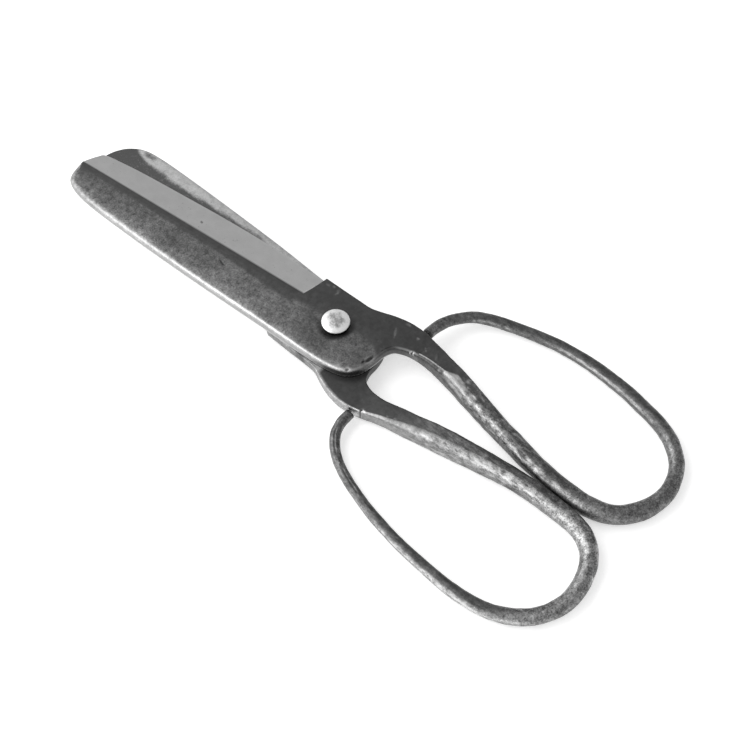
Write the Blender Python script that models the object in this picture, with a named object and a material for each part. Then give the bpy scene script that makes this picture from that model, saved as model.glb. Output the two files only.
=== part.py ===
"""Fabric shears: two forged halves on one rivet, each with an open bow bent from its own shank.

Frame: the pivot axis is the Z axis, the table is z = 0, the bows are towards +X and the tips
towards -X. The upper half's bow is on the +Y side. Lengths below are millimetres.
"""
import math

import bmesh
import bpy
from mathutils import Vector

MM = 0.001

# Heights of the stacked pieces above the table.
TAIL_TOP = 0.9
WASHER_BOTTOM = 1.15
WASHER_TOP = 1.95
LOWER_OUTER = 2.2
LOWER_INNER = 6.0
UPPER_INNER = 6.3
UPPER_OUTER = 10.2
HEAD_SEAT = 10.45
HEAD_TOP = 12.3

# Pivot.
RIVET_RADIUS = 3.0
HOLE_RADIUS = 3.05
HEAD_RADIUS = 5.2
HEAD_UNDERCUT = 0.25
HEAD_RIM = 0.35
DOME_FULLNESS = 0.6
DOME_ANGLES = (0, 22, 45, 67)
TAIL_FLAT_RADIUS = 3.1
TAIL_ROUNDING = ((3.9, 0.2), (4.3, 0.6), (4.1, 0.9))
WASHER_RADIUS = 5.3
WASHER_CHAMFER = 0.2
PIVOT_SIDES = 32

# Forging.
TIP_THINNING = 0.85
TIP_X = -122.0
HEEL_X = -18.0
EDGE_THICKNESS = 0.5
SPINE_RADIUS = 1.2
PLATE_RADIUS = 0.8
INNER_RADIUS = 0.25
END_CHAMFER = 0.5
PLATE_RIDGE = 0.38
RIDGE_LIMITS = (0.3, 0.7)
TIP_EDGE_RADIUS = 0.15
EDGE_RADIUS_GAIN = 0.35
HANDLE_RADIUS = 1.2
SHANK_ROUNDNESS = 0.35
ROUNDING_ROWS = 3

# How finely the forging is divided.
BLADE_STEPS = 2
PLATE_STEPS = 2
HANDLE_STEPS = 3

# Plate sections run across a half from its cutting-edge side to its spine side:
# edge x, edge y, spine x, spine y, and how much of the full thickness stands at the edge side.
# A share above 1 thickens the whole section outwards.
UPPER_BLADE = [
    (-120.3, -9.6, -120.5, -11.2, 0.85),
    (-120.0, -6.6, -120.3, -13.7, 0.56),
    (-119.4, -3.4, -119.3, -16.8, 0.30),
    (-118.2, -0.7, -117.2, -19.1, 0.0),
    (-111.0, 1.1, -110.5, -20.8, 0.0),
    (-100.0, 3.1, -100.0, -21.2, 0.0),
    (-80.0, 6.0, -80.0, -20.7, 0.0),
    (-60.0, 8.7, -60.0, -19.8, 0.0),
    (-40.0, 10.7, -40.0, -18.6, 0.0),
    (-16.8, 12.0, -19.4, -17.2, 0.0),
]
UPPER_BEVEL_LINE = ((-122.0, -10.0), (-18.4, 1.2))
UPPER_PLATE = [
    (-14.2, 12.0, -18.9, -17.2, 1.0),
    (-8.0, 12.3, -9.0, -16.6, 1.0),
    (0.0, 12.7, 0.0, -16.0, 1.0),
    (5.0, 13.0, 7.0, -15.3, 1.0),
    (9.0, 14.3, 13.0, -13.9, 1.0),
    (13.0, 15.9, 16.8, -11.7, 1.0),
    (16.5, 17.0, 19.2, -8.2, 1.0),
    (19.5, 17.7, 20.4, -3.0, 1.0),
    (22.0, 18.0, 20.9, 2.4, 1.0),
    (25.0, 18.1, 22.7, 6.0, 1.0),
    (28.5, 17.8, 26.8, 8.1, 1.0),
]
LOWER_BLADE = [
    (-118.6, -2.2, -118.6, -0.7, 0.80),
    (-118.0, -4.8, -118.1, 1.4, 0.50),
    (-116.7, -7.4, -116.9, 4.4, 0.20),
    (-114.4, -9.4, -114.2, 8.1, 0.0),
    (-108.5, -10.7, -109.0, 11.4, 0.0),
    (-100.0, -11.9, -100.0, 12.7, 0.0),
    (-80.0, -13.9, -80.0, 13.2, 0.0),
    (-60.0, -15.3, -60.0, 13.3, 0.0),
    (-40.0, -16.1, -40.0, 13.2, 0.0),
    (-19.4, -16.4, -20.4, 12.6, 0.0),
]
LOWER_BEVEL_LINE = ((-118.0, -0.6), (-20.5, -5.8))
LOWER_PLATE = [
    (-17.0, -16.5, -20.0, 12.6, 1.0),
    (-8.0, -16.6, -8.0, 12.1, 1.0),
    (0.0, -16.6, 0.0, 11.6, 1.0),
    (5.0, -16.9, 7.0, 11.0, 1.0),
    (9.0, -18.6, 13.0, 9.9, 1.05),
    (13.0, -20.0, 16.8, 7.6, 1.12),
    (16.5, -20.7, 19.3, 3.8, 1.18),
    (19.5, -21.0, 20.3, -0.6, 1.22),
    (22.0, -20.9, 20.6, -5.2, 1.25),
    (25.0, -20.4, 22.4, -9.0, 1.28),
    (28.5, -19.6, 26.6, -10.6, 1.32),
]

# Handle sections run from the shank round the bow to its free end:
# x, y, height of the underside above the table, width across and depth along Z.
UPPER_HANDLE = [
    (34.4, 13.3, 3.9, 7.4, 6.0),
    (42.0, 12.7, 2.2, 6.9, 6.9),
    (52.0, 11.2, 0.9, 7.0, 7.4),
    (62.0, 9.5, 0.2, 7.1, 7.5),
    (75.0, 7.3, 0.0, 7.2, 7.4),
    (88.0, 5.3, 0.0, 7.1, 7.3),
    (100.0, 4.6, 0.0, 7.1, 7.2),
    (110.0, 5.3, 0.0, 7.0, 7.0),
    (117.6, 8.6, 0.0, 6.8, 6.8),
    (122.7, 14.5, 0.0, 6.5, 6.6),
    (125.7, 23.0, 0.0, 6.0, 6.2),
    (125.2, 31.0, 0.0, 5.6, 5.9),
    (121.0, 39.1, 0.0, 5.2, 5.6),
    (112.2, 45.4, 0.0, 5.2, 5.4),
    (98.0, 48.9, 0.0, 5.1, 5.2),
    (80.0, 50.5, 0.0, 4.7, 4.8),
    (62.0, 49.1, 0.1, 4.3, 4.5),
    (45.5, 44.2, 0.7, 4.2, 4.3),
    (34.0, 38.4, 1.9, 4.2, 4.2),
    (28.6, 31.5, 3.2, 4.1, 4.1),
    (26.4, 24.5, 4.4, 4.0, 4.0),
    (26.1, 19.2, 4.9, 3.9, 4.0),
]
LOWER_HANDLE = [
    (34.3, -14.1, 1.1, 7.4, 6.0),
    (42.0, -12.2, 0.5, 7.3, 6.9),
    (52.0, -9.9, 0.2, 7.5, 7.4),
    (62.0, -7.7, 0.1, 7.6, 7.6),
    (75.0, -5.0, 0.0, 7.5, 7.6),
    (88.0, -3.0, 0.0, 7.3, 7.4),
    (100.0, -2.6, 0.0, 7.1, 7.2),
    (110.0, -3.0, 0.0, 6.8, 6.8),
    (116.8, -5.4, 0.0, 6.5, 6.6),
    (122.0, -11.0, 0.0, 6.3, 6.4),
    (125.0, -20.5, 0.0, 6.1, 6.2),
    (124.4, -29.0, 0.0, 5.9, 6.0),
    (119.8, -37.6, 0.0, 5.7, 5.8),
    (111.0, -44.2, 0.0, 5.3, 5.4),
    (98.0, -47.4, 0.0, 4.6, 4.8),
    (80.0, -47.3, 0.0, 4.2, 4.3),
    (62.0, -45.4, 0.0, 3.8, 4.0),
    (46.0, -41.7, 0.2, 3.7, 3.8),
    (34.3, -36.9, 0.6, 3.6, 3.7),
    (28.3, -31.7, 1.1, 3.6, 3.7),
    (26.1, -26.4, 1.6, 3.6, 3.7),
    (25.9, -21.6, 1.8, 3.6, 3.7),
]


def smooth_rows(rows, steps):
    """Pass a smooth curve through rows of numbers, with the given steps between two rows."""
    gaps = [math.dist(a[:2], b[:2]) ** 0.5 for a, b in zip(rows, rows[1:])]
    slopes = []
    for i in range(len(rows)):
        before = max(i - 1, 0)
        after = min(i + 1, len(rows) - 1)
        span = sum(gaps[before:after])
        slopes.append([(b - a) / span for a, b in zip(rows[before], rows[after])])
    result = []
    for i, gap in enumerate(gaps):
        for k in range(steps):
            t = k / steps
            row = []
            for a, b, m, n in zip(rows[i], rows[i + 1], slopes[i], slopes[i + 1]):
                rise = a * (2 * t**3 - 3 * t**2 + 1) + b * (3 * t**2 - 2 * t**3)
                row.append(rise + gap * (m * (t**3 - 2 * t**2 + t) + n * (t**3 - t**2)))
            result.append(row)
    result.append(list(rows[-1]))
    return result


def crossing(line, a, b):
    """Say how far along a-b the given line is met, from 0 at a to 1 at b."""
    start = Vector(line[0])
    along = Vector(line[1]) - start
    across = Vector((-along.y, along.x))
    return across.dot(start - a) / across.dot(b - a)


def plate_sections(rows, steps, bevel_line, inner, outer):
    """Turn plate rows into sections with a thickness, a bevel and a spine radius."""
    sections = []
    for ex, ey, sx, sy, land in smooth_rows(rows, steps):
        edge = Vector((ex, ey))
        spine = Vector((sx, sy))
        along = min(max((sx - TIP_X) / (HEEL_X - TIP_X), 0.0), 1.0)
        thickness = (outer - inner) * (TIP_THINNING + (1 - TIP_THINNING) * along) * max(land, 1.0)
        thin = math.copysign(EDGE_THICKNESS, thickness)
        if land < 1:
            ridge = min(max(crossing(bevel_line, edge, spine), RIDGE_LIMITS[0]), RIDGE_LIMITS[1])
        else:
            ridge = PLATE_RIDGE
        sections.append({
            "edge": edge,
            "spine": spine,
            "ridge": ridge,
            "inner": inner,
            "outer": inner + thickness,
            "edge_top": inner + thin + (thickness - thin) * min(max(land, 0.0), 1.0),
            "edge_radius": TIP_EDGE_RADIUS + EDGE_RADIUS_GAIN * land,
            "spine_radius": SPINE_RADIUS + (PLATE_RADIUS - SPINE_RADIUS) * along,
            "round": 0.0,
        })
    return sections


def handle_sections(rows, steps, inner_sign):
    """Turn handle rows into sections square to the bow's path, growing rounder from the shank."""
    path = smooth_rows(rows, steps)
    sections = []
    for i, (x, y, lift, width, depth) in enumerate(path):
        z = max(lift, 0.0) + depth / 2
        behind = Vector(path[max(i - 1, 0)][:2])
        ahead = Vector(path[min(i + 1, len(path) - 1)][:2])
        direction = (ahead - behind).normalized()
        side = Vector((-direction.y, direction.x)) * width / 2 * -inner_sign
        sections.append({
            "edge": Vector((x, y)) + side,
            "spine": Vector((x, y)) - side,
            "ridge": 0.5,
            "inner": z + inner_sign * depth / 2,
            "outer": z - inner_sign * depth / 2,
            "edge_top": z - inner_sign * depth / 2,
            "edge_radius": HANDLE_RADIUS,
            "spine_radius": HANDLE_RADIUS,
            "round": min(1.0, SHANK_ROUNDNESS + (1 - SHANK_ROUNDNESS) * i / (ROUNDING_ROWS * steps)),
        })
    end = dict(sections[-1])
    middle = (end["edge"] + end["spine"]) / 2
    trim = 1 - 2 * END_CHAMFER / rows[-1][3]
    end["edge"] = middle + (end["edge"] - middle) * trim
    end["spine"] = middle + (end["spine"] - middle) * trim
    height = (end["inner"] + end["outer"]) / 2
    end["inner"] = height + (end["inner"] - height) * trim
    end["outer"] = height + (end["outer"] - height) * trim
    end["edge_top"] = end["outer"]
    step_back = direction * END_CHAMFER
    for key in ("edge", "spine"):
        sections[-1][key] = sections[-1][key] - step_back
    return sections + [end]


def inward(sections, i, key):
    """The plan direction from an outline into the material at section i."""
    if i in (0, len(sections) - 1):
        other = sections[i]["spine" if key == "edge" else "edge"]
        return (other - sections[i][key]).normalized()
    behind = sections[max(i - 1, 0)][key]
    ahead = sections[min(i + 1, len(sections) - 1)][key]
    along = (ahead - behind).normalized()
    normal = Vector((-along.y, along.x))
    other = sections[i]["spine" if key == "edge" else "edge"]
    return normal if normal.dot(other - sections[i][key]) > 0 else -normal


def ring(sections, i):
    """One closed ring of points round the forging at section i."""
    s = sections[i]
    up = math.copysign(1.0, s["outer"] - s["inner"])
    edge_in = inward(sections, i, "edge")
    spine_in = inward(sections, i, "spine")
    ridge = s["edge"].lerp(s["spine"], s["ridge"])
    widest = 0.3 * (s["spine"] - s["edge"]).length
    r_edge = min(s["edge_radius"], widest)
    r_spine = min(s["spine_radius"], widest)
    points = [(s["edge"], (s["inner"] + s["edge_top"]) / 2)]
    for angle in (0, math.pi / 4, math.pi / 2):
        inset = s["edge"] + edge_in * r_edge * (1 - math.cos(angle))
        points.append((inset, s["edge_top"] - up * r_edge * (1 - math.sin(angle))))
    points.append((ridge, s["outer"]))
    top_end = s["spine"] + spine_in * r_spine
    points.append((ridge.lerp(top_end, 0.5), s["outer"]))
    for angle in (math.pi / 2, math.pi / 4, 0):
        inset = s["spine"] + spine_in * r_spine * (1 - math.cos(angle))
        points.append((inset, s["outer"] - up * r_spine * (1 - math.sin(angle))))
    points.append((s["spine"], (s["inner"] + s["outer"]) / 2))
    half = len(points) - 1
    small = min(INNER_RADIUS, abs(s["edge_top"] - s["inner"]) / 3)
    spine_floor = s["spine"] + spine_in * INNER_RADIUS
    edge_floor = s["edge"] + edge_in * small
    points.append((s["spine"], s["inner"] + up * INNER_RADIUS))
    points.append((spine_floor, s["inner"]))
    for share in (0.25, 0.5, 0.75):
        points.append((spine_floor.lerp(edge_floor, share), s["inner"]))
    points.append((edge_floor, s["inner"]))
    points.append((s["edge"], s["inner"] + up * small))
    rest = len(points) - half

    middle = (s["edge"] + s["spine"]) / 2
    reach = (s["spine"] - s["edge"]) / 2
    height = (s["inner"] + s["outer"]) / 2
    depth = (s["outer"] - s["inner"]) / 2
    result = []
    for k, (plan, z) in enumerate(points):
        turn = math.pi * (k / half if k <= half else 1 + (k - half) / rest)
        oval = middle - reach * math.cos(turn)
        oval_z = height + depth * math.sin(turn)
        plan = plan.lerp(oval, s["round"])
        result.append(Vector((plan.x, plan.y, z + (oval_z - z) * s["round"])) * MM)
    return result


def add_object(name, mesh_data, material):
    """Store a bmesh as a named object with its material."""
    bmesh.ops.recalc_face_normals(mesh_data, faces=mesh_data.faces)
    mesh = bpy.data.meshes.new(name)
    mesh_data.to_mesh(mesh)
    mesh_data.free()
    mesh.materials.append(material)
    mesh.shade_smooth()
    mesh.set_sharp_from_angle(angle=math.radians(35))
    item = bpy.data.objects.new(name, mesh)
    bpy.context.collection.objects.link(item)
    return item


def forge(name, sections, material):
    """Skin the rings of a forging from its tip to its free end."""
    shape = bmesh.new()
    rings = [[shape.verts.new(p) for p in ring(sections, i)] for i in range(len(sections))]
    count = len(rings[0])
    for a, b in zip(rings, rings[1:]):
        for k in range(count):
            n = (k + 1) % count
            shape.faces.new((a[k], a[n], b[n], b[k]))
    for end in (rings[0], rings[-1]):
        middle = shape.verts.new(sum((v.co for v in end), Vector()) / count)
        for k in range(count):
            shape.faces.new((end[k], end[(k + 1) % count], middle))
    bmesh.ops.triangulate(shape, faces=shape.faces)
    return add_object(name, shape, material)


def turned(name, profile, material, closed=False):
    """Spin a profile of (radius, height) points about the pivot axis."""
    shape = bmesh.new()
    rings = []
    for radius, z in profile:
        if radius == 0:
            rings.append([shape.verts.new((0, 0, z * MM))])
            continue
        circle = []
        for k in range(PIVOT_SIDES):
            angle = 2 * math.pi * k / PIVOT_SIDES
            point = Vector((radius * math.cos(angle), radius * math.sin(angle), z))
            circle.append(shape.verts.new(point * MM))
        rings.append(circle)
    pairs = list(zip(rings, rings[1:]))
    if closed:
        pairs.append((rings[-1], rings[0]))
    for a, b in pairs:
        for k in range(PIVOT_SIDES):
            n = (k + 1) % PIVOT_SIDES
            if len(a) == 1:
                shape.faces.new((a[0], b[k], b[n]))
            elif len(b) == 1:
                shape.faces.new((a[k], a[n], b[0]))
            else:
                shape.faces.new((a[k], a[n], b[n], b[k]))
    return add_object(name, shape, material)


def drill(item, cutter):
    """Cut the pivot hole through a half."""
    cut = item.modifiers.new("pivot hole", "BOOLEAN")
    cut.operation = "DIFFERENCE"
    cut.solver = "EXACT"
    cut.object = cutter


def metal(name, colour, roughness, metallic):
    """A Principled material."""
    material = bpy.data.materials.new(name)
    material.use_nodes = True
    shader = material.node_tree.nodes["Principled BSDF"]
    shader.inputs["Base Color"].default_value = (*colour, 1)
    shader.inputs["Roughness"].default_value = roughness
    shader.inputs["Metallic"].default_value = metallic
    material.diffuse_color = (*colour, 1)
    return material


def build():
    """Make the four pieces."""
    upper_sections = (
        plate_sections(UPPER_BLADE, BLADE_STEPS, UPPER_BEVEL_LINE, UPPER_INNER, UPPER_OUTER)
        + plate_sections(UPPER_PLATE, PLATE_STEPS, UPPER_BEVEL_LINE, UPPER_INNER, UPPER_OUTER)
        + handle_sections(UPPER_HANDLE, HANDLE_STEPS, -1)
    )
    lower_sections = (
        plate_sections(LOWER_BLADE, BLADE_STEPS, LOWER_BEVEL_LINE, LOWER_INNER, LOWER_OUTER)
        + plate_sections(LOWER_PLATE, PLATE_STEPS, LOWER_BEVEL_LINE, LOWER_INNER, LOWER_OUTER)
        + handle_sections(LOWER_HANDLE, HANDLE_STEPS, 1)
    )
    upper = forge("upper_half", upper_sections, metal("upper_iron", (0.10, 0.10, 0.10), 0.5, 0.9))
    lower = forge("lower_half", lower_sections, metal("lower_iron", (0.12, 0.12, 0.12), 0.5, 0.9))

    hole_profile = [(0, -1), (HOLE_RADIUS, -1), (HOLE_RADIUS, HEAD_TOP), (0, HEAD_TOP)]
    cutter = turned("pivot_hole_cutter", hole_profile, metal("cutter", (1, 0, 0), 0.5, 0))
    cutter.hide_render = True
    cutter.display_type = "WIRE"
    drill(upper, cutter)
    drill(lower, cutter)

    tail = [(0, 0), (TAIL_FLAT_RADIUS, 0), *TAIL_ROUNDING]
    shank = [(RIVET_RADIUS, TAIL_TOP), (RIVET_RADIUS, HEAD_SEAT)]
    head = [(HEAD_RADIUS - HEAD_UNDERCUT, HEAD_SEAT), (HEAD_RADIUS, HEAD_SEAT + HEAD_RIM)]
    dome_start = HEAD_SEAT + 2 * HEAD_RIM
    for degrees in DOME_ANGLES:
        angle = math.radians(degrees)
        rise = (HEAD_TOP - dome_start) * math.sin(angle)
        head.append((HEAD_RADIUS * math.cos(angle) ** DOME_FULLNESS, dome_start + rise))
    head.append((0, HEAD_TOP))
    turned("pivot_rivet", tail + shank + head, metal("rivet_steel", (0.62, 0.62, 0.61), 0.3, 1.0))

    washer = [
        (HOLE_RADIUS, WASHER_BOTTOM),
        (WASHER_RADIUS - WASHER_CHAMFER, WASHER_BOTTOM),
        (WASHER_RADIUS, WASHER_BOTTOM + WASHER_CHAMFER),
        (WASHER_RADIUS, WASHER_TOP),
        (HOLE_RADIUS, WASHER_TOP),
    ]
    turned("rivet_washer", washer, metal("washer_steel", (0.35, 0.35, 0.34), 0.4, 1.0), closed=True)


for old in list(bpy.data.objects):
    bpy.data.objects.remove(old, do_unlink=True)
build()
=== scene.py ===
"""Looks of the hand-forged fabric shears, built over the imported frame.

Lengths in the tables are millimetres in the frame's own axes: the pivot is the Z axis, the table is
z = 0, the bows are towards +X and the upper half's bow is on the +Y side.
"""
import math

import bmesh
import bpy
import numpy as np
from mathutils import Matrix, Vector, noise


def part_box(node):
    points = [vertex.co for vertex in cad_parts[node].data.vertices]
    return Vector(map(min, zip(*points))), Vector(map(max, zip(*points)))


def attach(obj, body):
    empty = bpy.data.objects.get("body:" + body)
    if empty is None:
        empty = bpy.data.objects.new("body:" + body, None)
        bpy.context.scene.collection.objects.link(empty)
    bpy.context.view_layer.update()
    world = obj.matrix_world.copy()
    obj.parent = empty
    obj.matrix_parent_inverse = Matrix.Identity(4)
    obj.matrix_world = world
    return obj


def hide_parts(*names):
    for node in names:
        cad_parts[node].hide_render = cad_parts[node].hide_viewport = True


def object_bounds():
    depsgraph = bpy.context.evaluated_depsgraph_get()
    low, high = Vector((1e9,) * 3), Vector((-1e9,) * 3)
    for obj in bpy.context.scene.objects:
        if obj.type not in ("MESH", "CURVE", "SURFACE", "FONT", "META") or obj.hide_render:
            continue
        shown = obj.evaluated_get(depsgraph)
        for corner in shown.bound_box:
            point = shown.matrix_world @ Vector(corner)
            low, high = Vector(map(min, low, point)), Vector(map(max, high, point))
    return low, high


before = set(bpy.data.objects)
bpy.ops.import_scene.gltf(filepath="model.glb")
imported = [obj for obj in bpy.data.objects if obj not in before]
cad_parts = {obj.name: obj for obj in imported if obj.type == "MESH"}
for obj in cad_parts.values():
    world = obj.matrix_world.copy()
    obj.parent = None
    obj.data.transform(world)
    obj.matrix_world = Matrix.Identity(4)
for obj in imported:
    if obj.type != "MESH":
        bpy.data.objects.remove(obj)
CAD_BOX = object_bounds()
MM = 0.001

# Camera: its direction from the shears, its distance and aim in metres, and its lens in mm.
AZIMUTH = math.radians(41.7)
ELEVATION = math.radians(59)
DISTANCE = 0.5565
TARGET = Vector((0.0206, -0.0023, 0))
LENS = 75.6
SENSOR_WIDTH = 36
FLOOR_REACH = 3

# Heights of each half's inner and outer faces above the table.
UPPER = {"inner": 6.3, "outer": 10.2}
LOWER = {"inner": 6.0, "outer": 2.2}
# Blades thin towards the tip: the share of the full thickness there, and where it starts and ends.
TIP_THINNING = 0.85
TIP_X = -122.0
HEEL_X = -18.0
# The ground bevel: thickness left at the cutting edge, the width over which it falls to that, and
# the shares of the way across a half between which its ridge stays.
EDGE_THICKNESS = 0.22
BEVEL_MIN_WIDTH = 9.3
RIDGE_LIMITS = (0.12, 0.8)
# Radii of the sections' long corners.
GROUND_EDGE_RADIUS = 0.2
PLATE_EDGE_RADIUS = 0.45
TIP_SPINE_RADIUS = 1.9
HEEL_SPINE_RADIUS = 1.0
INNER_CORNER_RADIUS = 0.3
# Most of a section's height, or of a handle's width, that one corner may take; and of a plate's width.
CORNER_SHARE = 0.47
PLATE_CORNER_SHARE = 0.3
# The pivot: the drill's radius, sides and two end heights, and the sides of the rivet and washer.
HOLE_RADIUS = 3.05
HOLE_SIDES = 64
HOLE_ENDS = (-2, 14)
RIVET_SIDES = 96

# Plate rows: cutting-edge side x, y, spine side x, y, share of the full thickness.
UPPER_BLADE = [
    (-120.3, -9.6, -120.5, -11.2, 1.0),
    (-120.0, -6.6, -120.3, -13.7, 1.0),
    (-119.4, -3.4, -119.3, -16.8, 1.0),
    (-118.2, -0.7, -117.2, -19.1, 1.0),
    (-111.0, 1.1, -110.5, -20.8, 1.0),
    (-100.0, 3.1, -100.0, -21.2, 1.0),
    (-80.0, 6.0, -80.0, -20.7, 1.0),
    (-60.0, 8.7, -60.0, -19.8, 1.0),
    (-40.0, 10.7, -40.0, -18.6, 1.0),
    (-16.6, 12.0, -19.6, -17.2, 1.0),
]
UPPER_BEVEL_LINE = ((-122.0, -10.0), (-18.4, 1.2))
UPPER_PLATE = [
    (-15.0, 12.0, -19.2, -17.2, 1.0),
    (-8.0, 12.3, -9.0, -16.6, 1.0),
    (0.0, 12.7, 0.0, -16.0, 1.0),
    (5.0, 13.0, 7.0, -15.3, 1.0),
    (9.0, 14.3, 13.0, -13.9, 1.0),
    (13.0, 15.9, 16.8, -11.7, 1.0),
    (16.5, 17.0, 19.2, -8.2, 1.0),
    (19.5, 17.7, 20.4, -3.0, 1.0),
    (22.0, 18.0, 20.9, 2.4, 1.0),
    (25.0, 18.1, 22.7, 6.0, 1.0),
    (28.5, 17.8, 26.8, 8.1, 1.0),
]
LOWER_BLADE = [
    (-118.6, -2.2, -118.6, -0.7, 1.0),
    (-118.0, -4.8, -118.1, 1.4, 1.0),
    (-116.7, -7.4, -116.9, 4.4, 1.0),
    (-114.4, -9.4, -114.2, 8.1, 1.0),
    (-108.5, -10.7, -109.0, 11.4, 1.0),
    (-100.0, -11.9, -100.0, 12.7, 1.0),
    (-80.0, -13.9, -80.0, 13.2, 1.0),
    (-60.0, -15.3, -60.0, 13.3, 1.0),
    (-40.0, -16.1, -40.0, 13.2, 1.0),
    (-19.2, -16.4, -20.4, 12.6, 1.0),
]
LOWER_BEVEL_LINE = ((-118.0, -0.6), (-20.5, -5.8))
LOWER_PLATE = [
    (-17.6, -16.5, -20.0, 12.6, 1.0),
    (-8.0, -16.6, -8.0, 12.1, 1.0),
    (0.0, -16.6, 0.0, 11.6, 1.0),
    (5.0, -16.9, 7.0, 11.0, 1.0),
    (9.0, -18.6, 13.0, 9.9, 1.05),
    (13.0, -20.0, 16.8, 7.6, 1.12),
    (16.5, -20.7, 19.3, 3.8, 1.18),
    (19.5, -21.0, 20.3, -0.6, 1.22),
    (22.0, -20.9, 20.6, -5.2, 1.25),
    (25.0, -20.4, 22.4, -9.0, 1.28),
    (28.5, -19.6, 26.6, -10.6, 1.32),
]
# Handle rows from the shank round the bow to its free end: x, y, underside height, width, depth.
UPPER_HANDLE = [
    (34.4, 13.3, 3.9, 7.4, 6.0),
    (42.0, 12.7, 2.2, 6.9, 6.9),
    (52.0, 11.2, 0.9, 7.0, 7.4),
    (62.0, 9.5, 0.2, 7.1, 7.5),
    (75.0, 7.3, 0.0, 7.2, 7.4),
    (88.0, 5.3, 0.0, 7.1, 7.3),
    (100.0, 4.6, 0.0, 7.1, 7.2),
    (110.0, 5.3, 0.0, 7.0, 7.0),
    (117.6, 8.6, 0.0, 6.8, 6.8),
    (122.7, 14.5, 0.0, 6.5, 6.6),
    (125.7, 23.0, 0.0, 6.0, 6.2),
    (125.2, 31.0, 0.0, 5.6, 5.9),
    (121.0, 39.1, 0.0, 5.2, 5.6),
    (112.2, 45.4, 0.0, 5.2, 5.4),
    (98.0, 48.9, 0.0, 5.1, 5.2),
    (80.0, 50.5, 0.0, 4.7, 4.8),
    (62.0, 49.1, 0.1, 4.3, 4.5),
    (45.5, 44.2, 0.7, 4.2, 4.3),
    (34.0, 38.4, 1.9, 4.2, 4.2),
    (28.6, 31.5, 3.2, 4.1, 4.1),
    (26.4, 24.5, 4.4, 4.0, 4.0),
    (26.1, 19.2, 4.9, 3.9, 4.0),
]
LOWER_HANDLE = [
    (34.3, -14.1, 1.1, 7.4, 6.0),
    (42.0, -12.2, 0.5, 7.3, 6.9),
    (52.0, -9.9, 0.2, 7.5, 7.4),
    (62.0, -7.7, 0.1, 7.6, 7.6),
    (75.0, -5.0, 0.0, 7.5, 7.6),
    (88.0, -3.0, 0.0, 7.3, 7.4),
    (100.0, -2.6, 0.0, 7.1, 7.2),
    (110.0, -3.0, 0.0, 6.8, 6.8),
    (116.8, -5.4, 0.0, 6.5, 6.6),
    (122.0, -11.0, 0.0, 6.3, 6.4),
    (125.0, -20.5, 0.0, 6.1, 6.2),
    (124.4, -29.0, 0.0, 5.9, 6.0),
    (119.8, -37.6, 0.0, 5.7, 5.8),
    (111.0, -44.2, 0.0, 5.3, 5.4),
    (98.0, -47.4, 0.0, 4.6, 4.8),
    (80.0, -47.3, 0.0, 4.2, 4.3),
    (62.0, -45.4, 0.0, 3.8, 4.0),
    (46.0, -41.7, 0.2, 3.7, 3.8),
    (34.3, -36.9, 0.6, 3.6, 3.7),
    (28.3, -31.7, 1.1, 3.6, 3.7),
    (26.1, -26.4, 1.6, 3.6, 3.7),
    (25.9, -20.95, 1.8, 3.6, 3.7),
]

# Points round one ring, by stretch: the four corners and the four sides between them.
CORNER_POINTS = 8
INNER_CORNER_POINTS = 5
BEVEL_POINTS = 12
FACE_POINTS = 40
WALL_POINTS = 3
INNER_POINTS = 24

# Spacing of the rings along a half, of a handle's own sections, and how many of those sections keep
# the plate's finer spacing of rings.
BLADE_SPACING = 0.6
PLATE_SPACING = 0.4
HANDLE_SPACING = 0.75
PATH_SPACING = 2.0
FINE_HANDLE_ROWS = 5
# The plate runs into the shank smoothly: rings on each side of the join that are evened out.
JOIN_REACH = 22
JOIN_PASSES = 60
# Shares of the way from the last bevelled section to the first plate section.
PLUNGE_STEPS = (0.12, 0.25, 0.4, 0.6, 0.75, 0.88)
# Rings and radius of the rounding at a half's two ends.
END_RINGS = 5
END_ROUNDING = 0.5

# Columns of a full section: its edge and spine points, inner and outer heights, whether it has a
# bevel and belongs to the handle, its four corner radii, and the length travelled along the handle.
EX, EY, SX, SY, INNER, OUTER, BEVEL, HANDLE = range(8)
EDGE_OUT, SPINE_OUT, SPINE_IN, EDGE_IN = range(8, 12)
TRAVELLED = 12
# Lengths travelled along a handle: the shank's end, and where the rod becomes thin.
SHANK_END = 45
THIN_START = 118
THIN_FULL = 140
# Corner radius of a fully rounded rod, as a share of half its width.
FULL_ROUND = 0.92


def smoothstep(low, high, value):
    """0 before low and 1 past high, with a smooth run between them."""
    share = np.clip((value - low) / (high - low), 0, 1)
    return share * share * (3 - 2 * share)


def unit(vectors):
    return vectors / np.maximum(np.linalg.norm(vectors, axis=-1, keepdims=True), 1e-9)


def blended(a, b, share):
    """From a to b by a share of 0 to 1."""
    return a * (1 - share) + b * share


def smooth_rows(rows, spacings):
    """Pass a smooth curve through rows of numbers and read it at the spacing given for each gap."""
    rows = np.array(rows, float)
    spans = np.linalg.norm(np.diff(rows[:, :2], axis=0), axis=1)
    if rows.shape[1] > EDGE_OUT:
        spans = np.maximum(spans, np.linalg.norm(np.diff(rows[:, SX:SY + 1], axis=0), axis=1))
    spacings = np.broadcast_to(spacings, len(spans))
    gaps = np.sqrt(spans)
    slopes = np.empty_like(rows)
    for i in range(len(rows)):
        before, after = max(i - 1, 0), min(i + 1, len(rows) - 1)
        slopes[i] = (rows[after] - rows[before]) / gaps[before:after].sum()
    result = []
    for i, gap in enumerate(gaps):
        steps = max(1, math.ceil(spans[i] / spacings[i]))
        for t in np.arange(steps) / steps:
            result.append(
                rows[i] * (2 * t**3 - 3 * t**2 + 1)
                + rows[i + 1] * (3 * t**2 - 2 * t**3)
                + gap * slopes[i] * (t**3 - 2 * t**2 + t)
                + gap * slopes[i + 1] * (t**3 - t**2)
            )
    result.append(rows[-1])
    return np.array(result)


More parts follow.
